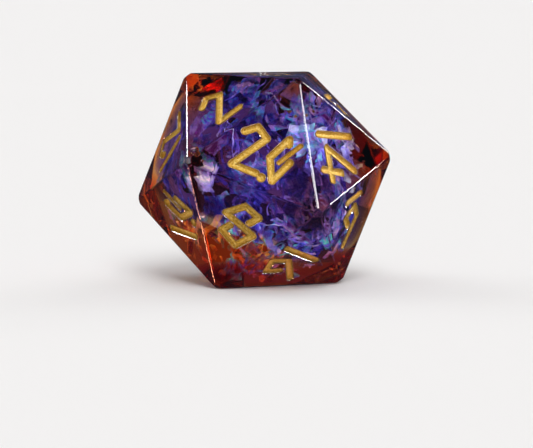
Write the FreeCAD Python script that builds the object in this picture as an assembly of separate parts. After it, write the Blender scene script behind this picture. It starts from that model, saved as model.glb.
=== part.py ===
import FreeCAD, Part
import math
import os

# A twenty-sided die cast in clear resin. All sizes in millimetres, +Z up.
# The die rests on the face numbered three, the face numbered twenty is turned to the front (-Y),
# and the origin is the middle of the resting face.

FACE_TO_FACE = 20.0
EDGE_RADIUS = 0.45
CORNER_TRIM = 0.18
CORE_RADIUS = 8.8
PEN_WIDTH = 0.68
FINE_PEN_WIDTH = 0.42
DOT_WIDTH = 0.84
GROOVE_DEPTH = 0.65
PAINT_THICKNESS = 0.35
FILM_THICKNESS = 0.12
FLECK_THICKNESS = 0.10
CUT_CLEARANCE = 0.5

GOLDEN = (1.0 + math.sqrt(5.0)) / 2.0
NARROW_RING = FACE_TO_FACE / GOLDEN ** 2
WIDE_RING = FACE_TO_FACE / GOLDEN
CENTRE = FreeCAD.Vector(0, 0, FACE_TO_FACE / 2.0)

# Corners stand in four rings of three: (ring radius, height, first angle in degrees).
RINGS = {
    "base": (NARROW_RING, 0.0, -120.0),
    "low": (WIDE_RING, NARROW_RING, -60.0),
    "high": (WIDE_RING, WIDE_RING, -120.0),
    "top": (NARROW_RING, FACE_TO_FACE, -60.0),
}

# Half of the faces: number, the corner its numeral's top points to, the two other corners.
# The faces opposite carry twenty-one less the number, with the numeral turned the same way round.
NUMBERED_FACES = [
    (20, "top1", "low1", "high1"),
    (2, "top3", "top1", "high1"),
    (8, "base1", "high1", "low1"),
    (14, "high2", "top1", "low1"),
    (12, "low3", "top3", "high1"),
    (10, "low3", "high1", "base1"),
    (16, "base2", "low1", "base1"),
    (6, "base2", "low1", "high2"),
    (18, "top2", "top1", "top3"),
    (4, "top2", "top1", "high2"),
]

OPPOSITE = {
    "top1": "base3", "top2": "base1", "top3": "base2",
    "high1": "low2", "high2": "low3", "high3": "low1",
    "low1": "high3", "low2": "high1", "low3": "high2",
    "base1": "top2", "base2": "top3", "base3": "top1",
}

# Angular pen strokes of each digit, (right, up) from the digit's middle. The nought is cut as a
# stencil: an open outline, a fine slash inside it and a round dot at its foot.
DIGITS = {
    "0": [[(0.24, 1.62), (0.08, 2.1), (-0.95, -0.2), (0.05, -2.2), (0.95, 0.05)]],
    "slash": [[(1.3, 1.95), (0.0, -0.35)]],
    "dot": [[(-1.0, -2.3)]],
    "1": [[(0.05, -2.1), (-0.05, 2.1)]],
    "2": [[(-1.2, 1.25), (-0.2, 2.1), (0.95, 1.35), (-1.15, -2.1), (1.25, -2.1)]],
    "3": [[(-1.1, 1.9), (1.0, 2.1), (-0.2, 0.35), (1.15, -0.7), (0.1, -2.1), (-1.15, -1.45)]],
    "4": [[(0.45, 2.1), (-1.55, -1.2), (1.6, -1.05)], [(0.8, 0.3), (0.65, -2.1)]],
    "5": [[(1.1, 2.1), (-0.75, 1.95), (-0.95, 0.25), (0.95, 0.0), (0.45, -2.0), (-1.1, -1.75)]],
    "6": [[(0.8, 2.1), (-1.1, -0.45), (-0.35, -1.95), (1.1, -1.2), (0.4, 0.0)]],
    "7": [[(-1.1, 1.7), (1.15, 2.1), (-0.4, -2.1)]],
    "8": [[
        (-0.85, -0.6), (-1.5, -1.5), (0.05, -2.1), (1.55, -0.75),
        (-1.55, 0.5), (-0.3, 2.1), (1.4, 1.1), (0.8, 0.3),
    ]],
    "9": [[(-0.8, -2.1), (1.1, 0.45), (0.35, 1.95), (-1.1, 1.2), (-0.4, 0.0)]],
    "bar": [[(-1.15, 0.0), (1.15, 0.0)]],
}
PENS = {"slash": FINE_PEN_WIDTH, "dot": DOT_WIDTH}

# Where each digit stands on the face, (digit, right, up) from the middle of the face.
LAYOUT = {
    1: [("1", 0.0, 0.1)],
    2: [("2", -0.45, 0.25)],
    3: [("3", 0.0, 0.4)],
    4: [("4", 0.0, 0.0)],
    5: [("5", 0.0, 0.2)],
    6: [("6", 0.0, 0.75), ("bar", 0.0, -2.25)],
    7: [("7", 0.0, 0.1)],
    8: [("8", 0.0, 0.4)],
    9: [("9", 0.0, 0.75), ("bar", 0.0, -2.25)],
    10: [("1", -1.6, -0.1), ("0", 0.95, -0.1), ("slash", 0.95, -0.1), ("dot", 0.95, -0.1)],
    11: [("1", -0.8, -0.1), ("1", 0.8, -0.1)],
    12: [("1", -1.45, -0.1), ("2", 0.95, -0.1)],
    13: [("1", -1.35, -0.1), ("3", 1.0, -0.1)],
    14: [("1", -1.35, -0.1), ("4", 1.5, -0.1)],
    15: [("1", -1.35, -0.1), ("5", 1.0, -0.1)],
    16: [("1", -1.3, -0.1), ("6", 1.15, -0.1)],
    17: [("1", -1.35, -0.1), ("7", 0.95, -0.1)],
    18: [("1", -1.7, -0.1), ("8", 1.0, -0.1)],
    19: [("1", -1.3, -0.1), ("9", 1.15, -0.1)],
    20: [("2", -1.5, -0.3), ("0", 1.35, -0.3), ("slash", 1.35, -0.3), ("dot", 1.35, -0.3)],
}

# Cut outlines of the film scraps, (right, up) as fractions of the scrap's width and height.
TRIANGLE_SCRAP = [(-0.5, 0.45), (0.5, 0.2), (-0.05, -0.5)]
SQUARE_SCRAP = [(-0.5, 0.35), (0.3, 0.5), (0.5, -0.3), (-0.35, -0.5)]
RIBBON_SCRAP = [(-0.35, 0.5), (0.5, 0.42), (0.3, -0.5), (-0.5, -0.4)]
KITE_SCRAP = [(-0.5, 0.1), (0.15, 0.5), (0.5, -0.1), (-0.1, -0.5)]

# Film scraps: outline, x, y, z of the middle, bearing and tilt the scrap faces, spin, width, height.
FILM_SCRAPS = [
    (TRIANGLE_SCRAP, -5.4, -4.7, 11.2, -20, 10, 0, 2.0, 2.6),
    (SQUARE_SCRAP, 3.3, -5.3, 13.6, 10, 25, 0, 2.8, 2.2),
    (KITE_SCRAP, 6.2, -1.7, 13.4, 55, 20, 15, 3.4, 3.6),
    (RIBBON_SCRAP, 5.6, -4.7, 9.0, 40, 0, 0, 1.0, 4.2),
    (SQUARE_SCRAP, 6.6, -1.2, 7.0, 70, -15, 30, 2.4, 2.8),
    (KITE_SCRAP, -4.4, -3.2, 14.8, -40, 45, 20, 2.8, 2.4),
    (RIBBON_SCRAP, -7.0, -0.6, 9.4, -75, 0, 25, 1.6, 3.6),
    (SQUARE_SCRAP, 0.2, -5.0, 10.4, 0, 12, 10, 4.2, 3.2),
    (KITE_SCRAP, -2.6, -5.0, 6.4, -20, -25, 40, 3.0, 2.4),
    (TRIANGLE_SCRAP, 3.4, -3.6, 4.4, 30, -45, 60, 3.0, 2.8),
    (SQUARE_SCRAP, -1.6, 5.2, 13.2, 165, 20, 0, 3.8, 3.2),
    (RIBBON_SCRAP, 3.8, 5.2, 8.0, 140, -10, 20, 1.6, 4.4),
    (TRIANGLE_SCRAP, -5.0, 4.0, 7.2, -130, -15, 10, 3.2, 3.2),
    (KITE_SCRAP, -0.8, 0.6, 16.6, 0, 80, 0, 3.6, 3.0),
    (SQUARE_SCRAP, 0.6, 2.2, 3.8, 180, -65, 25, 3.4, 3.0),
    (KITE_SCRAP, 5.2, 3.4, 13.6, 115, 25, 50, 2.8, 3.2),
]

# Gold leaf flecks: x, y, z of the middle, bearing and tilt the fleck faces, width.
GOLD_FLECKS = [
    (2.1, -4.8, 16.4, 0, 30, 0.5),
    (2.7, -4.6, 15.9, 20, 10, 0.35),
    (3.5, -4.2, 16.3, 10, 40, 0.4),
    (4.8, 3.4, 15.8, 90, 40, 0.5),
    (5.4, 1.6, 15.9, 60, 40, 0.4),
    (-0.2, -5.6, 4.4, 10, -20, 0.45),
    (-4.6, -4.6, 5.2, -30, 0, 0.35),
    (-4.4, 4.6, 14.6, -140, 20, 0.45),
    (2.6, 6.8, 12.4, 170, 0, 0.4),
    (-6.6, 2.4, 13.2, -100, 30, 0.4),
]


def corner_points():
    points = {}
    for ring, (radius, height, first) in RINGS.items():
        for step in range(3):
            angle = math.radians(first + 120.0 * step)
            x = radius * math.cos(angle)
            y = radius * math.sin(angle)
            points[ring + str(step + 1)] = FreeCAD.Vector(x, y, height)
    return points


def turned_to_front(points):
    middle = points["top1"] + points["low1"] + points["high1"]
    bearing = math.degrees(math.atan2(middle.y, middle.x))
    turn = FreeCAD.Rotation(FreeCAD.Vector(0, 0, 1), -90.0 - bearing)
    return {name: turn.multVec(point) for name, point in points.items()}


def all_faces():
    faces = {}
    for number, up, second, third in NUMBERED_FACES:
        faces[number] = (up, second, third)
        faces[21 - number] = (OPPOSITE[up], OPPOSITE[second], OPPOSITE[third])
    return faces


def closed_face(points):
    return Part.Face(Part.makePolygon(points + [points[0]]))


def cutting_slab(point, direction):
    """A block that starts at a point and takes away all that lies beyond it."""
    slab = Part.makeBox(4.0, 4.0, 4.0, FreeCAD.Vector(-2.0, -2.0, 0.0))
    slab.Placement = FreeCAD.Placement(point, FreeCAD.Rotation(FreeCAD.Vector(0, 0, 1), direction))
    return slab


def rounded_blank(points, faces):
    """The plain casting: a smaller icosahedron, its corners trimmed, grown by the edge radius all round."""
    shrink = (FACE_TO_FACE / 2.0 - EDGE_RADIUS) / (FACE_TO_FACE / 2.0)
    small = {name: CENTRE + (point - CENTRE) * shrink for name, point in points.items()}
    sides = [closed_face([small[name] for name in faces[number]]) for number in sorted(faces)]
    solid = Part.makeSolid(Part.makeShell(sides))
    if solid.Volume < 0:
        solid.reverse()
    for corner in small.values():
        outward = (corner - CENTRE).normalize()
        solid = solid.cut(cutting_slab(corner - outward * CORNER_TRIM, outward))
    return solid.makeOffsetShape(EDGE_RADIUS, 0.001, join=0)


def face_frame(points, corners):
    """Placement with its origin in the middle of a face, X to the right, Y up, Z outward."""
    first, second, third = [points[name] for name in corners]
    middle = (first + second + third) * (1.0 / 3.0)
    outward = (middle - CENTRE).normalize()
    up = (first - middle).normalize()
    right = up.cross(outward)
    turn = FreeCAD.Rotation(right, up, outward, "ZXY")
    return FreeCAD.Placement(middle, turn)


def pen_stroke(start, end, radius, bottom, height):
    """One straight stroke with half-round ends, standing up from the level called bottom."""
    a = FreeCAD.Vector(start[0], start[1], bottom)
    b = FreeCAD.Vector(end[0], end[1], bottom)
    along = (b - a).normalize()
    side = FreeCAD.Vector(-along.y, along.x, 0) * radius
    cap = along * radius
    edges = [
        Part.LineSegment(a - side, b - side).toShape(),
        Part.Arc(b - side, b + cap, b + side).toShape(),
        Part.LineSegment(b + side, a + side).toShape(),
        Part.Arc(a + side, a - cap, a - side).toShape(),
    ]
    outline = Part.Face(Part.Wire(edges))
    return outline.extrude(FreeCAD.Vector(0, 0, height))


def pen_dot(point, radius, bottom, height):
    return Part.makeCylinder(radius, height, FreeCAD.Vector(point[0], point[1], bottom))


def numeral_solids(number, bottom, height):
    """The strokes of one numeral, as upright solids in the frame of its face."""
    pieces = []
    for digit, right, up in LAYOUT[number]:
        radius = PENS.get(digit, PEN_WIDTH) / 2.0
        for line in DIGITS[digit]:
            spots = [(x + right, y + up) for x, y in line]
            if len(spots) == 1:
                pieces.append(pen_dot(spots[0], radius, bottom, height))
            for start, end in zip(spots, spots[1:]):
                pieces.append(pen_stroke(start, end, radius, bottom, height))
    joined = pieces[0]
    if len(pieces) > 1:
        joined = joined.fuse(pieces[1:]).removeSplitter()
    return joined


def facing(x, y, z, bearing, tilt, spin):
    """Placement at a point with Z looking out along a bearing (0 is the front) and a tilt up."""
    b = math.radians(bearing)
    t = math.radians(tilt)
    outward = FreeCAD.Vector(math.sin(b) * math.cos(t), -math.cos(b) * math.cos(t), math.sin(t))
    right = FreeCAD.Vector(math.cos(b), math.sin(b), 0)
    up = outward.cross(right)
    turn = FreeCAD.Rotation(right, up, outward, "ZXY")
    spun = turn.multiply(FreeCAD.Rotation(FreeCAD.Vector(0, 0, 1), spin))
    return FreeCAD.Placement(FreeCAD.Vector(x, y, z), spun)


def film_scrap(outline, x, y, z, bearing, tilt, spin, width, height):
    lift = -FILM_THICKNESS / 2.0
    points = [FreeCAD.Vector(u * width, v * height, lift) for u, v in outline]
    sheet = closed_face(points).extrude(FreeCAD.Vector(0, 0, FILM_THICKNESS))
    sheet.Placement = facing(x, y, z, bearing, tilt, spin)
    return sheet


def gold_fleck(x, y, z, bearing, tilt, width):
    lift = -FLECK_THICKNESS / 2.0
    points = [FreeCAD.Vector(u * width, v * width, lift) for u, v in KITE_SCRAP]
    leaf = closed_face(points).extrude(FreeCAD.Vector(0, 0, FLECK_THICKNESS))
    leaf.Placement = facing(x, y, z, bearing, tilt, 0)
    return leaf


def save(shape, name):
    shape.exportStep("parts/" + name + ".step")
    print(name, "valid", shape.isValid(), "solids", len(shape.Solids), "mm3", round(shape.Volume, 3))


def main():
    os.makedirs("parts", exist_ok=True)
    points = turned_to_front(corner_points())
    faces = all_faces()

    grooves = []
    for number in sorted(faces):
        frame = face_frame(points, faces[number])
        groove = numeral_solids(number, -GROOVE_DEPTH, GROOVE_DEPTH + CUT_CLEARANCE)
        groove.Placement = frame
        grooves.append(groove)
        paint = numeral_solids(number, -GROOVE_DEPTH, PAINT_THICKNESS)
        paint.Placement = frame
        save(Part.makeCompound(paint.Solids), "numeral_" + str(number))

    ball = Part.makeSphere(CORE_RADIUS, CENTRE)
    casting = rounded_blank(points, faces).cut(ball).cut(grooves)
    save(casting, "outer_casting")

    scraps = [film_scrap(*row) for row in FILM_SCRAPS]
    for index, scrap in enumerate(scraps):
        save(scrap, "film_scrap_" + str(index + 1))
    flecks = [gold_fleck(*row) for row in GOLD_FLECKS]
    save(Part.makeCompound(flecks), "gold_leaf_flecks")

    core = ball.cut(scraps + flecks)
    save(core, "core_casting")


main()
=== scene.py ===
import math
import random

import bpy
import bmesh
import numpy as np
from mathutils import Matrix, Vector, geometry, noise


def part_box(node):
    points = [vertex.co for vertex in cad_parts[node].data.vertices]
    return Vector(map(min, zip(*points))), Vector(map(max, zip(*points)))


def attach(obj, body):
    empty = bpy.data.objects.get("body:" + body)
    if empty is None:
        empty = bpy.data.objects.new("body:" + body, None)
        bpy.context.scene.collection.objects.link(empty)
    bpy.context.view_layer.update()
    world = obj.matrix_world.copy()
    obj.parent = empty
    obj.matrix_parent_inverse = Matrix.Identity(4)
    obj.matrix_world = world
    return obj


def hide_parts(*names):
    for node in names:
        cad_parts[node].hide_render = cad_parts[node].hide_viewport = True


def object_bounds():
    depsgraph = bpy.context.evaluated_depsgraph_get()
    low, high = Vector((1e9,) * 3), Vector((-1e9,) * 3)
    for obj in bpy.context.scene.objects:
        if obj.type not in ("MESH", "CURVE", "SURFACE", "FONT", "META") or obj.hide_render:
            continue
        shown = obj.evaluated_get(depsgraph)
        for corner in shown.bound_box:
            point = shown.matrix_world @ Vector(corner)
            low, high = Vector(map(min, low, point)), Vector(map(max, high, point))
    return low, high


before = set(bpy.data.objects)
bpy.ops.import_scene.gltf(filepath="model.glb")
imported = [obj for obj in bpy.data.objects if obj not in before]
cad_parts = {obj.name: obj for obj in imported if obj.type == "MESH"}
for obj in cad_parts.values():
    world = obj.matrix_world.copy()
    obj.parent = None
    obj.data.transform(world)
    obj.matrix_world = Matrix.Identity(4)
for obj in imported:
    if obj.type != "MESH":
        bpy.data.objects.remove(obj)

cad_box = [list(corner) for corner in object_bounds()]
MM = 0.001

# ---------------------------------------------------------------- the die's proportions, in mm

FACE_TO_FACE = (cad_box[1][2] - cad_box[0][2]) / MM
CENTRE = Vector((0.0, 0.0, FACE_TO_FACE / 2))
EDGE_RADIUS = 0.45
EDGE_STEPS = 7
# The twenty big triangles are larger than this in square mm, and the bands that round the edges smaller.
SMALLEST_FLAT_FACE = 10
CORNER_TRIM = 0.18
ANGLE_BETWEEN_FACES = 138.19
HALF_BEND = math.radians(180 - ANGLE_BETWEEN_FACES) / 2
# The fine pen's strokes are under this wide, and their groove is cut to this part of the full section.
FINE_STROKE = 0.255
FINE_SECTION = 0.55
# Least resin between a face of the die and the film sealed under it.
FILM_COVER = 0.8

# Groove section from the lip down: how far in from the engraved outline, and how deep.
GROOVE_SECTION = [
    (-0.050, 0.000), (-0.022, 0.010), (-0.004, 0.040), (0.020, 0.160), (0.045, 0.340),
    (0.075, 0.480), (0.120, 0.570), (0.185, 0.625), (0.255, 0.645),
]
# Top of the paint coat that lines the groove, from its rim on the wall down to the floor.
PAINT_SECTION = [
    (0.022, 0.050), (0.040, 0.075), (0.066, 0.140), (0.096, 0.205), (0.134, 0.258), (0.176, 0.294),
    (0.225, 0.310),
]
# How far the paint's hidden back reaches into the groove wall, so that no gap shows.
PAINT_BOND = 0.012


def die_corners():
    """The twelve corners of the icosahedron, turned as the casting is."""
    golden = (1 + math.sqrt(5)) / 2
    narrow = FACE_TO_FACE / golden ** 2
    wide = FACE_TO_FACE / golden
    rings = [(narrow, 0.0, -120), (wide, narrow, -60), (wide, wide, -120), (narrow, FACE_TO_FACE, -60)]
    corners = []
    for radius, height, first in rings:
        for step in range(3):
            angle = math.radians(first + 120 * step)
            corners.append(Vector((radius * math.cos(angle), radius * math.sin(angle), height)))
    front = corners[9] + corners[3] + corners[6]
    turn = Matrix.Rotation(-math.pi / 2 - math.atan2(front.y, front.x), 3, "Z")
    return [turn @ c for c in corners]


CORNERS = die_corners()
SIDE = min((CORNERS[0] - c).length for c in CORNERS[1:])
CORNER_REACH = (CORNERS[0] - CENTRE).length


def die_faces():
    """Corner numbers of the twenty faces, each trio turning anticlockwise seen from outside."""
    found = []
    for a in range(12):
        for b in range(a + 1, 12):
            for c in range(b + 1, 12):
                trio = [CORNERS[a], CORNERS[b], CORNERS[c]]
                gaps = [(trio[i] - trio[i - 1]).length for i in range(3)]
                if max(gaps) < SIDE * 1.01:
                    out = (trio[1] - trio[0]).cross(trio[2] - trio[0])
                    middle = (trio[0] + trio[1] + trio[2]) / 3 - CENTRE
                    found.append((a, b, c) if out.dot(middle) > 0 else (a, c, b))
    return found


FACES = die_faces()


class FacePlane:
    """One flat face: its middle, its outward direction, and mm coordinates across it."""

    def __init__(self, trio):
        a, b, c = (CORNERS[i] for i in trio)
        self.middle = (a + b + c) / 3
        self.out = (self.middle - CENTRE).normalized()
        self.x = (b - a).normalized()
        self.y = self.out.cross(self.x)

    def flat(self, p):
        d = p - self.middle
        return (d.dot(self.x), d.dot(self.y))

    def place(self, u, v, depth=0.0):
        return self.middle + self.x * u + self.y * v - self.out * depth


PLANES = [FacePlane(trio) for trio in FACES]

# ---------------------------------------------------------------- outlines of the engraving


def welded(obj):
    """The mesh of a CAD node with its loose triangles joined."""
    bm = bmesh.new()
    bm.from_mesh(obj.data)
    bmesh.ops.remove_doubles(bm, verts=bm.verts, dist=1e-6)
    return bm


def engraved_loops(node, plane):
    """Outlines of one numeral on its face, each with the stroke on its left, one list per island."""
    bm = welded(node)
    follow = {}
    for face in bm.faces:
        if face.normal.dot(plane.out) < 0.9:
            continue
        for corner in face.loops:
            mates = [f for f in corner.edge.link_faces if f is not face]
            if mates and mates[0].normal.dot(plane.out) < 0.5:
                follow[corner.vert.index] = corner.link_loop_next.vert.index
    bm.verts.ensure_lookup_table()
    spots = {i: plane.flat(bm.verts[i].co / MM) for i in follow}
    bm.free()
    loops = []
    while follow:
        start, here = next(iter(follow.items()))
        ring = [start]
        del follow[start]
        while here != start:
            ring.append(here)
            here = follow.pop(here)
        loops.append(tidy_ring([spots[i] for i in ring]))
    return loops


def tidy_ring(points, gap=0.03):
    """Leaves out points that crowd the one before."""
    kept = [points[0]]
    for p in points[1:]:
        if math.dist(p, kept[-1]) > gap:
            kept.append(p)
    if math.dist(kept[0], kept[-1]) < gap:
        kept.pop()
    return kept


def ring_area(ring):
    """Area inside an outline, negative for the outline of a hole."""
    return sum(a[0] * b[1] - b[0] * a[1] for a, b in zip(ring, ring[1:] + ring[:1])) / 2


def inset_ring(ring, distance):
    """Moves an outline sideways, into the stroke for a positive distance."""
    pts = np.array(ring)
    ahead = np.roll(pts, -1, axis=0) - pts
    ahead /= np.linalg.norm(ahead, axis=1)[:, None]
    behind = np.roll(ahead, 1, axis=0)
    left = np.stack([-ahead[:, 1], ahead[:, 0]], axis=1)
    left_behind = np.stack([-behind[:, 1], behind[:, 0]], axis=1)
    mid = left + left_behind
    mid /= np.maximum(np.linalg.norm(mid, axis=1), 1e-6)[:, None]
    reach = 1 / np.maximum((mid * left).sum(axis=1), 0.55)
    return [tuple(p) for p in pts + mid * (reach * distance)[:, None]]


def inside(p, rings):
    """Even-odd test of a point against closed outlines."""
    hits = 0
    for ring in rings:
        for a, b in zip(ring, ring[1:] + ring[:1]):
            if (a[1] > p[1]) != (b[1] > p[1]):
                if p[0] < a[0] + (p[1] - a[1]) * (b[0] - a[0]) / (b[1] - a[1]):
                    hits += 1
    return hits % 2 == 1


def fill_flat(rings, keep):
    """Triangles between closed outlines, as (points, triangles), where keep(middle) is true."""
    points, edges = [], []
    for ring in rings:
        base = len(points)
        points += [Vector(p) for p in ring]
        edges += [(base + i, base + (i + 1) % len(ring)) for i in range(len(ring))]
    out = geometry.delaunay_2d_cdt(points, edges, [], 0, 1e-7)
    spots = [tuple(p) for p in out[0]]
    kept = []
    for tri in out[2]:
        middle = [sum(spots[i][k] for i in tri) / 3 for k in (0, 1)]
        if keep(middle):
            kept.append(tuple(tri))
    return spots, kept


def numeral_of(plane):
    """The numeral node engraved in a face."""
    best = None
    for name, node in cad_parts.items():
        if name.startswith("numeral_"):
            low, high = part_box(name)
            away = ((low + high) / 2 / MM - CENTRE).normalized().dot(plane.out)
            if best is None or away > best[0]:
                best = (away, name)
    return best[1]


NUMERALS = {i: numeral_of(plane) for i, plane in enumerate(PLANES)}
OUTLINES = {i: engraved_loops(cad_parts[NUMERALS[i]], PLANES[i]) for i in NUMERALS}

# ---------------------------------------------------------------- mesh helpers


class Shell:
    """Collects points and faces in mm, and makes one mesh object of them in metres."""

    def __init__(self):
        self.bm = bmesh.new()

    def face(self, points, smooth=False):
        verts = [self.bm.verts.new(p) for p in points]
        made = self.bm.faces.new(verts)
        made.smooth = smooth
        return made

    def finish(self, name, material):
        bmesh.ops.remove_doubles(self.bm, verts=self.bm.verts, dist=0.0008)
        bmesh.ops.scale(self.bm, vec=(MM, MM, MM), verts=self.bm.verts)
        mesh = bpy.data.meshes.new(name)
        self.bm.to_mesh(mesh)
        self.bm.free()
        mesh.materials.append(material)
        obj = bpy.data.objects.new(name, mesh)
        bpy.context.scene.collection.objects.link(obj)
        return obj


def section_scale(ring):
    """Part of the full groove section that an island is cut to: less where its strokes are fine."""
    run = sum(math.dist(a, b) for a, b in zip(ring, ring[1:] + ring[:1]))
    fine = 0 < 2 * ring_area(ring) / run < FINE_STROKE
    return FINE_SECTION if fine else 1.0


def add_walls(shell, plane, ring, section, flip=False):
    """Bands of wall down one outline, following a groove section."""
    scale = section_scale(ring)
    levels = []
    for into, depth in section:
        outline = inset_ring(ring, into * scale)
        levels.append([plane.place(u, v, depth) for u, v in outline])
    for upper, lower in zip(levels, levels[1:]):
        count = len(upper)
        for i in range(count):
            j = (i + 1) % count
            quad = [upper[i], lower[i], lower[j], upper[j]]
            shell.face(quad[::-1] if flip else quad, smooth=True)


def add_floor(shell, plane, rings, into, depth, flip=False):
    """Flat floor between the walls of a groove."""
    edges = [inset_ring(r, into * section_scale(r)) for r in rings]
    spots, tris = fill_flat(edges, lambda middle: inside(middle, edges))
    for tri in tris:
        points = [plane.place(*spots[i], depth) for i in tri]
        shell.face(points[::-1] if flip else points)


def slice_off(block, direction, distance):
    """Cuts away what lies beyond a plane at a distance from the centre, and closes the cut."""
    geom = block.verts[:] + block.edges[:] + block.faces[:]
    bmesh.ops.bisect_plane(
        block, geom=geom, dist=1e-6, plane_co=CENTRE + direction * distance, plane_no=direction,
        clear_outer=True,
    )
    rim = [e for e in block.edges if e.is_boundary]
    if rim:
        bmesh.ops.edgeloop_fill(block, edges=rim)


def plain_block(size=1.0):
    """The die before it is rounded, at a part of its full size."""
    block = bmesh.new()
    verts = [block.verts.new(CENTRE + (c - CENTRE) * size) for c in CORNERS]
    for trio in FACES:
        block.faces.new([verts[i] for i in trio])
    return block


def engraved_face(shell, index, border):
    """One flat face with its numeral's groove cut into it."""
    plane, rings = PLANES[index], OUTLINES[index]
    lips = [inset_ring(r, GROOVE_SECTION[0][0] * section_scale(r)) for r in rings]
    spots, tris = fill_flat([border] + lips, lambda middle: not inside(middle, lips))
    for tri in tris:
        shell.face([plane.place(*spots[i]) for i in tri])
    for ring in rings:
        add_walls(shell, plane, ring, GROOVE_SECTION)
    add_floor(shell, plane, rings, *GROOVE_SECTION[-1])


def die_skin(shell):
    """Outer surface of the casting: flat faces, rounded edges and engraved grooves."""
    blank = plain_block()
    shrunk_reach = CORNER_REACH * (1 - EDGE_RADIUS / (FACE_TO_FACE / 2))
    for corner in CORNERS:
        slice_off(blank, (corner - CENTRE).normalized(), shrunk_reach - CORNER_TRIM + EDGE_RADIUS)
    bmesh.ops.bevel(
        blank, geom=blank.edges[:], offset=EDGE_RADIUS * math.tan(HALF_BEND), offset_type="OFFSET",
        segments=EDGE_STEPS, profile=0.5, affect="EDGES", clamp_overlap=False,
    )
    for face in blank.faces:
        points = [v.co.copy() for v in face.verts]
        if face.calc_area() < SMALLEST_FLAT_FACE:
            shell.face(points, smooth=True)
        else:
            index = max(range(len(PLANES)), key=lambda i: PLANES[i].out.dot(face.normal))
            engraved_face(shell, index, [PLANES[index].flat(p) for p in points])
    blank.free()


def paint_fill(index, material):
    """Gold paint lining one numeral's groove: a dished coat that climbs the walls."""
    plane, rings = PLANES[index], OUTLINES[index]
    shell = Shell()
    rim_into, rim_depth = PAINT_SECTION[0]
    floor_into, floor_depth = PAINT_SECTION[-1]
    under = [(into - PAINT_BOND, depth + PAINT_BOND) for into, depth in GROOVE_SECTION if depth > rim_depth]
    edge = (rim_into - PAINT_BOND, rim_depth)
    for ring in rings:
        add_walls(shell, plane, ring, [edge] + under, flip=True)
        add_walls(shell, plane, ring, [edge] + PAINT_SECTION)
    add_floor(shell, plane, rings, floor_into, floor_depth)
    add_floor(shell, plane, rings, *under[-1], flip=True)
    piece = shell.finish(NUMERALS[index] + "_paint", material)
    # The "rim" attribute is painted shade: 1 at the paint's rim, 0 at its floor, and it darkens the walls in
    # the gold finish.
    painted_wall_shade = piece.data.attributes.new("rim", "FLOAT", "POINT")
    for v, shade in zip(piece.data.vertices, painted_wall_shade.data):
        depth = FACE_TO_FACE / 2 - (v.co / MM - CENTRE).dot(plane.out)
        shade.value = min(max((floor_depth - depth) / (floor_depth - rim_depth), 0.0), 1.0)
    return piece


# ---------------------------------------------------------------- materials


class Val:
    """A shader socket that can be used in Python sums."""

    def __init__(self, tree, socket):
        self.tree, self.socket = tree, socket

    def _math(self, kind, *values):
        node = self.tree.nodes.new("ShaderNodeMath")
        node.operation = kind
        for slot, value in zip(node.inputs, values):
            if isinstance(value, Val):
                self.tree.links.new(value.socket, slot)
            else:
                slot.default_value = value
        return Val(self.tree, node.outputs[0])

    def __add__(self, other):
        return self._math("ADD", self, other)

    def __radd__(self, other):
        return self._math("ADD", other, self)

    def __sub__(self, other):
        return self._math("SUBTRACT", self, other)

    def __rsub__(self, other):
        return self._math("SUBTRACT", other, self)

    def __mul__(self, other):
        return self._math("MULTIPLY", self, other)

    def __rmul__(self, other):
        return self._math("MULTIPLY", other, self)

    def __truediv__(self, other):
        return self._math("DIVIDE", self, other)

    def __rtruediv__(self, other):
        return self._math("DIVIDE", other, self)

    def clamp(self):
        return self._math("MINIMUM", self._math("MAXIMUM", self, 0.0), 1.0)


class Finish:
    """A procedural material being put together."""

    def __init__(self, name):
        self.material = bpy.data.materials.new(name)
        self.material.use_nodes = True
        self.tree = self.material.node_tree
        self.tree.nodes.clear()
        self.output = self.tree.nodes.new("ShaderNodeOutputMaterial")

    def node(self, kind, settings=None, out=0, **sockets):
        """Adds a node: its settings first, then the values or links of its sockets."""
        made = self.tree.nodes.new("ShaderNode" + kind)
        for key, value in (settings or {}).items():
            if key == "stops":
                ramp = made.color_ramp.elements
                while len(ramp) < len(value):
                    ramp.new(0.5)
                for element, (place, colour) in zip(ramp, value):
                    element.position = place
                    element.color = (*colour, 1.0)
            else:
                setattr(made, key, value)
        for key, value in sockets.items():
            name = key.replace("_", " ")
            slot = next(s for s in made.inputs if s.enabled and s.name == name)
            if isinstance(value, Val):
                self.tree.links.new(value.socket, slot)
            elif hasattr(slot.default_value, "__len__") and len(slot.default_value) == 4 and len(value) == 3:
                slot.default_value = (*value, 1.0)
            else:
                slot.default_value = value
        return Val(self.tree, made.outputs[out])

    def place(self):
        """Where a point lies on the die, in metres."""
        return self.node("TexCoord", out="Object")

    def noise(self, scale, detail=3.0, rough=0.55, warp=0.0):
        return self.node(
            "TexNoise", Vector=self.place(), Scale=scale, Detail=detail, Roughness=rough, Distortion=warp,
        )

    def ramp(self, factor, stops):
        return self.node("ValToRGB", {"stops": stops}, Fac=factor)

    def blend(self, factor, a, b):
        """Mixes two colours."""
        made = self.tree.nodes.new("ShaderNodeMix")
        made.data_type = "RGBA"
        for slot, value in ((made.inputs[0], factor), (made.inputs[6], a), (made.inputs[7], b)):
            if isinstance(value, Val):
                self.tree.links.new(value.socket, slot)
            else:
                slot.default_value = value if isinstance(value, float) else (*value, 1.0)
        return Val(self.tree, made.outputs[2])

    def bump(self, height, strength, distance):
        return self.node("Bump", Height=height, Strength=strength, Distance=distance)

    def done(self, surface, volume=None):
        self.tree.links.new(surface.socket, self.output.inputs["Surface"])
        if volume is not None:
            self.tree.links.new(volume.socket, self.output.inputs["Volume"])
        return self.material


def absorption(passed, depth_mm):
    """Volume Absorption colour and density that let this much of red, green and blue through a depth."""
    rates = [-math.log(max(t, 1e-4)) / (depth_mm * MM) for t in passed]
    density = max(rates) * 1.02
    return [1 - r / density for r in rates], density


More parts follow.
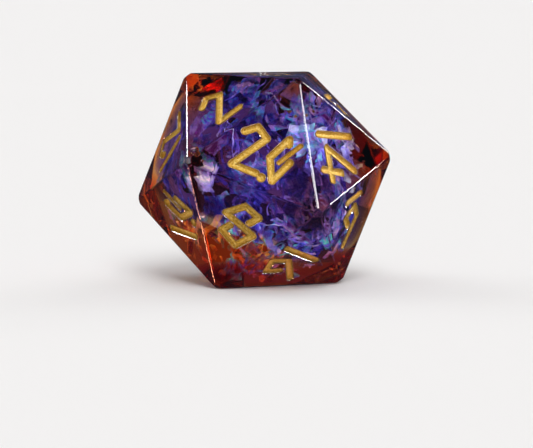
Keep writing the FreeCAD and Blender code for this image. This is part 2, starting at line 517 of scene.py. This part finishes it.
# The casting's amber blush starts this far from the centre in mm, deepens over a width, and drifts a little.
BLUSH_START = 10.4
BLUSH_WIDTH = 1.6
BLUSH_DRIFT = 1.2


def clear_resin():
    """Polished clear casting, faintly amber, blushing amber towards the corners."""
    f = Finish("clear_polished_resin")
    colour, density = absorption((0.93, 0.76, 0.60), 10.0)
    from_middle = f.node("Mapping", Vector=f.place(), Location=(0.0, 0.0, -FACE_TO_FACE / 2 * MM))
    reach = f.node("VectorMath", {"operation": "LENGTH"}, Vector=from_middle, out="Value") / MM
    cloud = f.noise(240, 3, 0.5)
    corner = ((reach - BLUSH_START + (cloud - 0.5) * BLUSH_DRIFT) / BLUSH_WIDTH).clamp()
    tint = f.blend(corner, (1.0, 1.0, 1.0), (0.88, 0.38, 0.15))
    surface = f.node(
        "BsdfPrincipled", Base_Color=tint, Roughness=0.0, IOR=1.52, Transmission_Weight=1.0,
    )
    return f.done(surface, f.node("VolumeAbsorption", Color=colour, Density=density))


def tinted_resin(name, passed, depth_mm):
    """Dye in the casting: it only tints the light, so its edge bends nothing."""
    f = Finish(name)
    surface = f.node(
        "BsdfPrincipled", Base_Color=(1.0, 1.0, 1.0), Roughness=0.0, IOR=1.0, Transmission_Weight=1.0,
    )
    colour, density = absorption(passed, depth_mm)
    volume = f.node("VolumeAbsorption", Color=colour, Density=density)
    return f.done(surface, volume)


def gold_paint():
    """Satin gold acrylic with a coarse sparkle, and painted shade: darker brown up the groove's walls towards
    the rim.
    """
    f = Finish("gold_acrylic_paint")
    mottle = f.noise(5600, 3, 0.6)
    flake = f.noise(14000, 2, 0.5)
    colour = f.ramp(mottle * 0.65 + flake * 0.35, [
        (0.34, (0.42, 0.20, 0.01)), (0.45, (0.70, 0.40, 0.03)), (0.54, (0.92, 0.60, 0.10)),
        (0.64, (1.0, 0.80, 0.32)),
    ])
    # Painted shade: the colour turns dark brown up the groove's walls, following the "rim" attribute.
    rim = f.node("Attribute", {"attribute_name": "rim"}, out="Fac")
    colour = f.blend((rim * 0.8).clamp(), colour, (0.26, 0.11, 0.008))
    rough = 0.38 + 0.25 * flake
    bump = f.bump(mottle * 0.5 + flake * 0.5, 0.6, 0.00005)
    return f.done(f.node("BsdfPrincipled", Base_Color=colour, Metallic=0.25, Roughness=rough, Normal=bump))


def keep_sealed(mesh):
    """Trims away film that would come nearer to a face of the die than the resin that covers it."""
    bm = bmesh.new()
    bm.from_mesh(mesh)
    limit = FACE_TO_FACE / 2 - FILM_COVER
    near = [v for v in bm.verts if max((v.co / MM - CENTRE).dot(plane.out) for plane in PLANES) > limit]
    bmesh.ops.delete(bm, geom=near, context="VERTS")
    bmesh.ops.delete(bm, geom=[v for v in bm.verts if not v.link_faces], context="VERTS")
    bm.to_mesh(mesh)
    bm.free()


# A creased sheet: folds across it, mesh spacing in mm, and how much larger than its CAD plate it is cut.
SCRAP_CREASES = 5
SCRAP_SPACING = 0.09
SCRAP_GROWTH = 1.12


def plate_frame(node):
    """Middle, outline and axes of a flat CAD plate, in mm."""
    bm = welded(node)
    broad = max(bm.faces, key=lambda f: f.calc_area())
    out = broad.normal.copy()
    top = [v.co / MM for v in bm.verts if (v.co - broad.verts[0].co).dot(out) > -2e-5]
    thick = max((broad.verts[0].co - v.co).dot(out) for v in bm.verts) / MM
    bm.free()
    middle = sum(top, Vector()) / len(top) - out * thick / 2
    x = top[0] - middle
    x = (x - out * x.dot(out)).normalized()
    y = out.cross(x)
    flat = [((p - middle).dot(x), (p - middle).dot(y)) for p in top]
    return middle, x, y, out, sorted(flat, key=lambda p: math.atan2(p[1], p[0]))


def crinkled_scrap(name, seed, material):
    """A thin creased sheet in the place of one flat CAD scrap."""
    middle, x, y, out, outline = plate_frame(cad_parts[name])
    draw = random.Random(seed * 71)
    creases = []
    for _ in range(SCRAP_CREASES):
        angle = draw.uniform(0, math.pi)
        rate, start, tall = draw.uniform(1.2, 4.5), draw.uniform(0, 6), draw.uniform(0.05, 0.16)
        creases.append((math.cos(angle), math.sin(angle), rate, start, tall))

    def lift(u, v):
        height = noise.noise(Vector((u * 0.5, v * 0.5, seed * 3.3))) * 0.55
        for cx, cy, rate, start, tall in creases:
            phase = (u * cx + v * cy) * rate + start + noise.noise(Vector((u, v, seed))) * 1.5
            height += tall * (abs(phase % 2 - 1) - 0.5)
        return height

    reach = max(math.hypot(*p) for p in outline)
    count = int(2 * reach / SCRAP_SPACING) + 1
    grown = [(u * SCRAP_GROWTH, v * SCRAP_GROWTH) for u, v in outline]
    shell = Shell()
    rows = []
    for i in range(count + 1):
        row = []
        for j in range(count + 1):
            u, v = -reach + 2 * reach * i / count, -reach + 2 * reach * j / count
            ragged = noise.noise(Vector((u * 2.2, v * 2.2, seed * 1.7))) * 0.25
            inside_it = inside((u * (1 + ragged), v * (1 + ragged)), [grown])
            row.append((u, v) if inside_it else None)
        rows.append(row)
    bm = shell.bm
    made = {}
    for i in range(count):
        for j in range(count):
            cell = [(i, j), (i + 1, j), (i + 1, j + 1), (i, j + 1)]
            if all(rows[a][b] for a, b in cell):
                for key in cell:
                    if key not in made:
                        u, v = rows[key[0]][key[1]]
                        made[key] = bm.verts.new(middle + x * u + y * v + out * lift(u, v))
                bm.faces.new([made[key] for key in cell]).smooth = True
    sheet = shell.finish(name + "_sheet", material)
    keep_sealed(sheet.data)
    return sheet


def iridescent_film(name, stops, glow, solid):
    """Thin colour-shifting film: the colour follows the slope of each crease, and the film glows in that
    colour as painted light.
    """
    f = Finish(name)
    facing = f.node("TexCoord", out="Normal")
    slope = f.node("SeparateXYZ", Vector=facing, out="X")
    rise = f.node("SeparateXYZ", Vector=facing, out="Z")
    drift = f.noise(330, 2, 0.5, 0.8)
    colour = f.ramp((drift - 0.5) * 1.25 + slope * 0.15 + rise * 0.12 + 0.5, stops)
    thin = f.noise(700, 2, 0.5)
    alpha = ((thin - 0.5) * 3.0 + solid).clamp()
    bump = f.bump(f.noise(1500, 2, 0.5, 1.0), 0.5, 0.0001)
    # The emission is painted light: the film is no lamp, and its glow stands in for light bounced about inside
    # the resin.
    return f.done(f.node(
        "BsdfPrincipled", Base_Color=colour, Metallic=0.6, Roughness=0.25, Alpha=alpha,
        Emission_Color=colour, Emission_Strength=glow, Normal=bump,
    ))


FILM_STOPS = [
    (0.26, (0.03, 0.02, 0.30)), (0.38, (0.10, 0.14, 0.95)), (0.46, (0.30, 0.16, 0.90)),
    (0.53, (0.06, 0.40, 0.90)), (0.58, (0.15, 0.85, 0.80)), (0.65, (0.45, 0.35, 1.0)),
    (0.74, (0.75, 0.45, 0.95)), (0.86, (0.95, 0.75, 0.90)),
]
FLAKE_STOPS = [
    (0.18, (0.004, 0.004, 0.02)), (0.40, (0.015, 0.012, 0.13)), (0.46, (0.16, 0.07, 0.50)),
    (0.51, (0.06, 0.13, 0.62)), (0.56, (0.16, 0.50, 0.78)), (0.61, (0.36, 0.22, 0.80)),
    (0.67, (0.72, 0.60, 0.95)), (0.78, (0.30, 0.06, 0.30)),
]
TEAL_STOPS = [
    (0.30, (0.05, 0.10, 0.45)), (0.42, (0.12, 0.50, 0.75)), (0.52, (0.40, 0.90, 0.72)),
    (0.60, (0.40, 0.45, 1.0)), (0.72, (0.85, 0.95, 1.0)),
]
PALE_STOPS = [
    (0.30, (0.10, 0.08, 0.40)), (0.44, (0.28, 0.26, 0.90)), (0.54, (0.48, 0.42, 1.0)),
    (0.64, (0.60, 0.75, 0.95)), (0.76, (0.95, 0.80, 0.95)),
]
EMBER_STOPS = [
    (0.25, (0.10, 0.02, 0.01)), (0.40, (0.55, 0.10, 0.02)), (0.52, (0.80, 0.30, 0.04)),
    (0.62, (0.90, 0.55, 0.12)), (0.75, (0.85, 0.35, 0.40)),
]


# A scattered flake: its grid of points, the cloud of noise that creases it, and how far the noise moves it.
FLAKE_POINTS = (12, 6)
FULL_TURN = 6.28
CREASE_SCALE = 520.0
CREASE_REACH = 0.0018
# One third would fill the region evenly, and a larger power crowds the flakes towards its middle.
CROWDING = 0.42


def scatter_tree():
    """Geometry Nodes that strew crinkled flakes through an egg-shaped region."""
    tree = bpy.data.node_groups.new("film_scatter", "GeometryNodeTree")
    for label, kind in (
        ("Count", "Int"), ("Seed", "Int"), ("Middle", "Vector"), ("Spread", "Vector"),
        ("Smallest", "Float"), ("Largest", "Float"), ("Narrowness", "Float"), ("Film", "Material"),
    ):
        tree.interface.new_socket(label, in_out="INPUT", socket_type="NodeSocket" + kind)
    tree.interface.new_socket("Geometry", in_out="OUTPUT", socket_type="NodeSocketGeometry")
    given = tree.nodes.new("NodeGroupInput").outputs

    def add(kind, settings=None, *values, **sockets):
        """Adds a node: its settings, then its first sockets in order, then its sockets by name."""
        node = tree.nodes.new(kind)
        for key, value in (settings or {}).items():
            setattr(node, key, value)
        usable = [slot for slot in node.inputs if slot.enabled]
        named = {slot.name: slot for slot in usable}
        pairs = list(zip(usable, values)) + [(named[key.replace("_", " ")], v) for key, v in sockets.items()]
        for slot, value in pairs:
            if isinstance(value, bpy.types.NodeSocket):
                tree.links.new(value, slot)
            else:
                slot.default_value = value
        return next(slot for slot in node.outputs if slot.enabled)

    def draw(kind, low, high):
        """A random value for each flake."""
        return add("FunctionNodeRandomValue", {"data_type": kind}, Min=low, Max=high, Seed=given["Seed"])

    ways = draw("FLOAT_VECTOR", (-1, -1, -1), (1, 1, 1))
    way = add("ShaderNodeVectorMath", {"operation": "NORMALIZE"}, ways)
    reach = add("ShaderNodeMath", {"operation": "POWER"}, draw("FLOAT", 0.0, 1.0), CROWDING)
    spot = add("ShaderNodeVectorMath", {"operation": "SCALE"}, way, Scale=reach)
    place = add("ShaderNodeVectorMath", {"operation": "MULTIPLY_ADD"}, spot, given["Spread"], given["Middle"])
    points = add("GeometryNodePoints", Count=given["Count"])
    laid = add("GeometryNodeSetPosition", Geometry=points, Position=place)
    flake = add(
        "GeometryNodeMeshGrid", Size_X=1.0, Size_Y=given["Narrowness"],
        Vertices_X=FLAKE_POINTS[0], Vertices_Y=FLAKE_POINTS[1],
    )
    turn = draw("FLOAT_VECTOR", (0, 0, 0), (FULL_TURN, FULL_TURN, FULL_TURN))
    size = draw("FLOAT", given["Smallest"], given["Largest"])
    strewn = add("GeometryNodeInstanceOnPoints", Points=laid, Instance=flake, Rotation=turn, Scale=size)
    real = add("GeometryNodeRealizeInstances", Geometry=strewn)
    cloud = tree.nodes.new("ShaderNodeTexNoise")
    for label, value in (("Scale", CREASE_SCALE), ("Detail", 2.0), ("Roughness", 0.5)):
        cloud.inputs[label].default_value = value
    offset = add(
        "ShaderNodeVectorMath", {"operation": "MULTIPLY_ADD"},
        cloud.outputs["Color"], [CREASE_REACH] * 3, [-CREASE_REACH / 2] * 3,
    )
    creased = add("GeometryNodeSetPosition", Geometry=real, Offset=offset)
    done = add("GeometryNodeSetMaterial", Geometry=creased, Material=given["Film"])
    tree.links.new(done, tree.nodes.new("NodeGroupOutput").inputs[0])
    return tree


SCATTER = scatter_tree()


def film_flakes(name, seed, count, middle, spread, sizes, material, narrow=0.42):
    """Scatters crinkled flakes of film round a middle. Lengths in mm."""
    values = {
        "Count": count, "Seed": seed, "Middle": [c * MM for c in middle], "Spread": [c * MM for c in spread],
        "Smallest": sizes[0] * MM, "Largest": sizes[1] * MM, "Narrowness": narrow, "Film": material,
    }
    carrier = bpy.data.objects.new(name + "_carrier", bpy.data.meshes.new(name + "_carrier"))
    bpy.context.scene.collection.objects.link(carrier)
    modifier = carrier.modifiers.new("scatter", "NODES")
    modifier.node_group = SCATTER
    for item in SCATTER.interface.items_tree:
        if item.in_out == "INPUT":
            modifier[item.identifier] = values[item.name]
    graph = bpy.context.evaluated_depsgraph_get()
    mesh = bpy.data.meshes.new_from_object(carrier.evaluated_get(graph))
    bpy.data.objects.remove(carrier)
    mesh.name = name
    keep_sealed(mesh)
    piece = bpy.data.objects.new(name, mesh)
    bpy.context.scene.collection.objects.link(piece)
    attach(piece, "root")
    return piece


def gold_leaf():
    """Bright metal leaf with a slow drift in its tone."""
    f = Finish("gold_leaf")
    tone = f.noise(5000, 2)
    colour = f.ramp(tone, [(0.3, (0.80, 0.50, 0.12)), (0.7, (1.0, 0.78, 0.30))])
    return f.done(f.node("BsdfPrincipled", Base_Color=colour, Metallic=1.0, Roughness=0.25))


def bubble_skin():
    """Clear skin of a trapped bubble, with a faint warm bloom."""
    f = Finish("air_bubble_skin")
    bloom = f.noise(2400, 2)
    colour = f.blend(bloom, (1.0, 1.0, 1.0), (1.0, 0.86, 0.74))
    return f.done(f.node(
        "BsdfPrincipled", Base_Color=colour, Roughness=0.06 * bloom, IOR=1.33, Transmission_Weight=1.0,
    ))


# ---------------------------------------------------------------- pieces

LAYER_TILT = Vector((0.35, -0.10, 1.0)).normalized()
LAYER_LEVEL = -3.6
CORE_RADIUS = 8.9
# The tinted pours stay this far inside the faces, and their corners are cut off this far from the centre.
POUR_INSET = 0.12
POUR_REACH = 11.95
RED_TIPS_START = 10.8
# Corner flakes gather at this part of the way from the centre to the corner.
CORNER_FLAKES_AT = 0.78
SCRAP_COUNT = 16


def soft_min(a, b, blend=1.2):
    """The smaller of two lengths, eased where they are nearly the same."""
    h = max(blend - abs(a - b), 0.0) / blend
    return min(a, b) - h * h * blend / 4


def core_surface(shell, radius):
    """Closed wavy blob of the violet pour: round above, and resting on the tilted amber layer."""
    ball = bmesh.new()
    bmesh.ops.create_icosphere(ball, subdivisions=5, radius=1.0)
    heart = CENTRE + Vector((0.2, -0.2, 0.5))
    for v in ball.verts:
        out = v.co.normalized()
        round_off = radius + noise.noise(out * 1.3 + Vector((3.1, 0.4, 7.7))) * 0.30
        drop = (heart - CENTRE).dot(LAYER_TILT) - LAYER_LEVEL
        fall = -out.dot(LAYER_TILT)
        run = drop / fall if fall > 0.05 else 99.0
        wave = noise.noise(out * 2.6 + Vector((1.7, 5.2, 0.3))) * 0.8
        v.co = heart + out * soft_min(round_off, run + wave)
    for face in ball.faces:
        shell.face([v.co.copy() for v in face.verts], smooth=True)
    ball.free()


def cut_block(shell, cuts):
    """A block of the die. Each cut is (direction, distance from the centre) and keeps what lies below it."""
    block = plain_block(1 - POUR_INSET * 2 / FACE_TO_FACE)
    trims = [(c - CENTRE, POUR_REACH) for c in CORNERS]
    for direction, distance in trims + cuts:
        slice_off(block, Vector(direction).normalized(), distance)
    for face in block.faces:
        shell.face([v.co.copy() for v in face.verts])
    block.free()


def pour(name, material, blocks):
    """One tinted pour, made of blocks of the die."""
    shell = Shell()
    for cuts in blocks:
        cut_block(shell, cuts)
    piece = shell.finish(name, material)
    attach(piece, "root")
    return piece


def corner_cut(index, distance):
    """Keeps only the corner beyond a distance from the centre."""
    away = (CENTRE - CORNERS[index]).normalized()
    return [(away, -distance)]


def trapped_air(name, drops, material):
    """Bubbles caught in the resin, a little out of round. Each drop is (middle, radius)."""
    shell = Shell()
    for middle, radius in drops:
        ball = bmesh.new()
        bmesh.ops.create_icosphere(ball, subdivisions=4, radius=radius)
        for v in ball.verts:
            swell = 1 + 0.10 * noise.noise(v.co.normalized() * 1.4 + middle)
            v.co = middle + v.co * swell
        for face in ball.faces:
            shell.face([v.co.copy() for v in face.verts], smooth=True)
        ball.free()
    return shell.finish(name, material)


resin = clear_resin()
ambers = [
    tinted_resin("amber_tint_pale", (0.92, 0.36, 0.12), 8.0),
    tinted_resin("amber_tint_orange", (0.97, 0.52, 0.16), 4.5),
    tinted_resin("amber_tint_red", (0.93, 0.48, 0.26), 2.5),
    tinted_resin("ruby_tint", (0.70, 0.12, 0.26), 4.0),
]
violet = tinted_resin("violet_tint", (0.10, 0.05, 0.50), 16.0)
gold = gold_paint()
# The third number is each film's glow strength. This is painted light, since the film is no lamp.
film = iridescent_film("iridescent_film", FILM_STOPS, 0.45, 0.45)
flake_film = iridescent_film("iridescent_flakes", FLAKE_STOPS, 0.50, 0.60)
teal_film = iridescent_film("iridescent_teal", TEAL_STOPS, 1.0, 0.50)
thread_film = iridescent_film("iridescent_threads", PALE_STOPS, 0.9, 0.85)
pale_film = iridescent_film("iridescent_pale", PALE_STOPS, 0.75, 0.50)
ember = iridescent_film("amber_flakes", EMBER_STOPS, 0.55, 0.50)
leaf = gold_leaf()

body = Shell()
die_skin(body)
body = body.finish("outer_casting_resin", resin)
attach(body, "root")
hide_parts("outer_casting")

# Corners in ring order: base 0-2, low 3-5, high 6-8, top 9-11.
# Each is given with the distance from the centre where its amber starts.
CORNER_DEPTHS = {5: 8.6, 7: 8.6, 4: 9.2, 8: 9.6, 11: 9.2, 10: 9.4}
pour("outer_casting_amber_base", ambers[0], [[(LAYER_TILT, LAYER_LEVEL - 0.9)]])
pour("outer_casting_red_foot", ambers[3], [[((-0.12, 0.10, 1.0), -7.4)]])
pour("outer_casting_amber_corners", ambers[1], [corner_cut(i, d) for i, d in CORNER_DEPTHS.items()])
pour("outer_casting_red_tips", ambers[2], [corner_cut(i, RED_TIPS_START) for i in (0, 1, 2, 4, 5, 7, 11)])

core = Shell()
core_surface(core, CORE_RADIUS)
core = core.finish("core_casting_violet", violet)
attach(core, "root")
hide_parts("core_casting")

for index in NUMERALS:
    fill = paint_fill(index, gold)
    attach(fill, "root")
    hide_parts(NUMERALS[index])

for number in range(1, SCRAP_COUNT + 1):
    scrap = crinkled_scrap("film_scrap_" + str(number), number, film)
    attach(scrap, "root")
    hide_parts("film_scrap_" + str(number))

film_flakes("film_flakes_large", 4, 46, (0.3, -0.6, 10.8), (6.4, 6.4, 5.8), (2.2, 4.6), flake_film)
film_flakes("film_flakes_small", 9, 70, (0.3, -0.8, 10.2), (7.4, 7.6, 7.0), (0.5, 1.6), flake_film)
film_flakes("film_flakes_high", 17, 26, (1.6, -4.2, 16.2), (3.2, 1.8, 1.6), (0.8, 2.4), film)
film_flakes("film_flakes_low", 15, 46, (2.2, -3.8, 4.6), (4.5, 3.4, 3.0), (0.8, 2.4), film)
film_flakes("film_flakes_foot", 19, 7, (-1.9, -4.4, 2.5), (1.9, 0.9, 0.7), (1.0, 2.4), film)
film_flakes("film_flakes_teal", 6, 11, (3.4, -5.4, 13.9), (1.5, 1.0, 2.6), (1.0, 2.4), teal_film)
film_flakes("film_flakes_pale", 8, 36, (6.8, -2.8, 12.8), (1.2, 2.3, 2.7), (0.6, 2.0), pale_film)
film_flakes("film_flakes_lavender", 2, 7, (4.0, -5.7, 11.6), (1.0, 0.5, 1.0), (1.4, 2.4), pale_film)
film_flakes("film_flakes_left", 5, 3, (-5.4, -6.0, 10.6), (0.3, 0.3, 0.3), (1.6, 2.2), pale_film)
film_flakes(
    "film_threads", 12, 40, (0.3, -1.6, 10.8), (7.0, 6.4, 6.8), (1.4, 3.2), thread_film, narrow=0.11,
)
film_flakes("amber_flakes_low", 21, 34, (-2.5, -1.8, 4.6), (5.2, 5.0, 2.8), (0.8, 2.4), ember)
for index in (0, 1, 2, 4, 5, 8, 10, 11):
    spot = CENTRE + (CORNERS[index] - CENTRE) * CORNER_FLAKES_AT
    name = "amber_flakes_corner_" + str(index + 1)
    film_flakes(name, 31 + index, 6, spot, (1.2, 1.2, 1.2), (0.5, 1.3), ember)
film_flakes("amber_flakes_left", 27, 16, (-6.8, -3.8, 6.6), (1.8, 2.6, 2.4), (0.8, 2.2), ember)

air = trapped_air("outer_casting_bubbles", [
    (Vector((-6.65, -8.2, 13.0)), 0.46), (Vector((-6.1, -8.6, 12.2)), 0.15), (Vector((-6.3, -5.3, 6.6)), 0.24),
], bubble_skin())
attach(air, "root")

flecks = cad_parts["gold_leaf_flecks"]
flecks.data.materials.clear()
flecks.data.materials.append(leaf)

# ---------------------------------------------------------------- floor, lights, camera

# Half the width of the floor, and how far it lies under the die, in mm.
FLOOR_REACH = 9000.0
FLOOR_DROP = 0.02


def floor_finish():
    """Matt pale board."""
    f = Finish("pale_floor")
    grain = f.noise(60, 2)
    rough = 0.50 + 0.10 * grain
    pale = (0.85, 0.85, 0.86)
    return f.done(f.node("BsdfPrincipled", Base_Color=pale, Roughness=rough, Specular_IOR_Level=0.0))


floor = Shell()
floor.face([(x * FLOOR_REACH, y * FLOOR_REACH, -FLOOR_DROP) for x, y in ((-1, -1), (1, -1), (1, 1), (-1, 1))])
floor = floor.finish("studio_floor", floor_finish())
floor.visible_glossy = False
floor.visible_transmission = False


def towards(bearing, height):
    """Unit vector to a bearing round the die and a height, in degrees. The front is bearing 0."""
    b, e = math.radians(bearing), math.radians(height)
    return Vector((math.sin(b) * math.cos(e), -math.cos(b) * math.cos(e), math.sin(e)))


def lamp(name, kind, bearing, height, strength):
    """A lamp turned to face the die, as (its settings, its object)."""
    light = bpy.data.lights.new(name, kind)
    light.energy = strength
    obj = bpy.data.objects.new(name, light)
    obj.rotation_euler = towards(bearing, height).to_track_quat("Z", "Y").to_euler()
    bpy.context.scene.collection.objects.link(obj)
    return light, obj


def softbox(name, bearing, height, distance, width, tall, power, mirrored=True, colour=(1.0, 1.0, 1.0)):
    """A square lamp near the die: mirrored in its polish, or else seen only through the resin."""
    light, obj = lamp(name, "AREA", bearing, height, power)
    light.shape = "RECTANGLE"
    light.size, light.size_y = width, tall
    light.color = colour
    obj.location = CENTRE * MM + towards(bearing, height) * distance
    obj.visible_camera = False
    obj.visible_diffuse = False
    obj.visible_glossy = mirrored
    obj.visible_transmission = not mirrored


def even_light(name, bearing, height, strength, spread):
    """Far soft light that falls evenly on paint and floor, and is not mirrored in the resin."""
    light, obj = lamp(name, "SUN", bearing, height, strength)
    light.angle = math.radians(spread)
    obj.visible_glossy = False
    obj.visible_transmission = False


softbox("key_softbox", 59, 30, 0.30, 0.20, 0.08, 0.80)
softbox("key_strip", 20, 33, 0.30, 0.025, 0.06, 0.12)
softbox("right_spot", 99.5, 6.8, 0.30, 0.04, 0.04, 0.26)
softbox("back_right_spot", 134, 23.5, 0.30, 0.03, 0.05, 0.20)
softbox("back_left_spot", -127.5, 39, 0.30, 0.055, 0.055, 0.28)
softbox("key_glow", 63, 29, 0.30, 0.14, 0.08, 0.38, mirrored=False)
softbox("left_softbox", -75, 25, 0.35, 0.16, 0.20, 0.22)
softbox("top_softbox", 0, 85, 0.35, 0.20, 0.20, 0.10)
softbox("floor_glow", -85, -38, 0.30, 0.05, 0.05, 0.30, colour=(1.0, 0.42, 0.24))

even_light("front_fill", 8, 46, 1.70, 30)
even_light("right_fill", 130, 30, 0.50, 40)
even_light("left_fill", -115, 30, 0.50, 40)
even_light("floor_light", 0, 90, 0.90, 80)


def studio_world():
    """Pale backdrop for the camera, a dim bluish room in the polish, and a bright table under the resin."""
    world = bpy.data.worlds.new("studio")
    world.use_nodes = True
    bpy.context.scene.world = world
    tree = world.node_tree
    tree.nodes.clear()

    def glow(colour, strength):
        """A plain glow of one colour."""
        node = tree.nodes.new("ShaderNodeBackground")
        node.inputs["Color"].default_value = (*colour, 1.0)
        node.inputs["Strength"].default_value = strength
        return node.outputs[0]

    def either(test, no, yes):
        """One glow or the other, by a test."""
        node = tree.nodes.new("ShaderNodeMixShader")
        for slot, source in zip(node.inputs, (test, no, yes)):
            tree.links.new(source, slot)
        return node.outputs[0]

    ray = tree.nodes.new("ShaderNodeLightPath")
    way = tree.nodes.new("ShaderNodeTexCoord")
    height = tree.nodes.new("ShaderNodeSeparateXYZ")
    tree.links.new(way.outputs["Generated"], height.inputs[0])
    below = tree.nodes.new("ShaderNodeMath")
    below.operation = "LESS_THAN"
    tree.links.new(height.outputs["Z"], below.inputs[0])
    below.inputs[1].default_value = 0.0
    room = glow((1.0, 0.93, 0.85), 0.22)
    through = either(below.outputs[0], room, glow((1.0, 0.95, 0.90), 0.75))
    mirrored = either(ray.outputs["Is Diffuse Ray"], glow((0.55, 0.65, 1.0), 0.07), room)
    unseen = either(ray.outputs["Is Transmission Ray"], mirrored, through)
    shown = either(ray.outputs["Is Camera Ray"], unseen, glow((0.88, 0.871, 0.863), 1.0))
    end = tree.nodes.new("ShaderNodeOutputWorld")
    tree.links.new(shown, end.inputs[0])


studio_world()

# The camera's bearing, height and roll in degrees, then its distance from the middle of the die and how far
# it is moved to its own right and up, in mm.
CAMERA_BEARING, CAMERA_HEIGHT, CAMERA_ROLL = -2.364, 5.972, 0.498
CAMERA_DISTANCE, CAMERA_RIGHT, CAMERA_UP = 265.33, 0.265, -4.422
CAMERA_SENSOR, CAMERA_LENS = 36, 186.32195

camera_data = bpy.data.cameras.new("camera")
camera = bpy.data.objects.new("camera", camera_data)
bpy.context.scene.collection.objects.link(camera)
bpy.context.scene.camera = camera
camera_data.sensor_width = CAMERA_SENSOR
camera_data.lens = CAMERA_LENS
back = towards(CAMERA_BEARING, CAMERA_HEIGHT)
right = (-back).cross(Vector((0, 0, 1))).normalized()
up = right.cross(-back)
roll = math.radians(CAMERA_ROLL)
tilted_right = right * math.cos(roll) + up * math.sin(roll)
tilted_up = up * math.cos(roll) - right * math.sin(roll)
stand = CENTRE + back * CAMERA_DISTANCE + tilted_right * CAMERA_RIGHT + tilted_up * CAMERA_UP
turn = Matrix((tilted_right, tilted_up, back)).transposed().to_4x4()
camera.matrix_world = Matrix.Translation(stand * MM) @ turn
camera_data.clip_start = 0.01

cycles = bpy.context.scene.cycles
cycles.max_bounces = 32
cycles.transmission_bounces = 32
cycles.glossy_bounces = 16
cycles.transparent_max_bounces = 16

bpy.context.scene.view_settings.view_transform = "Standard"
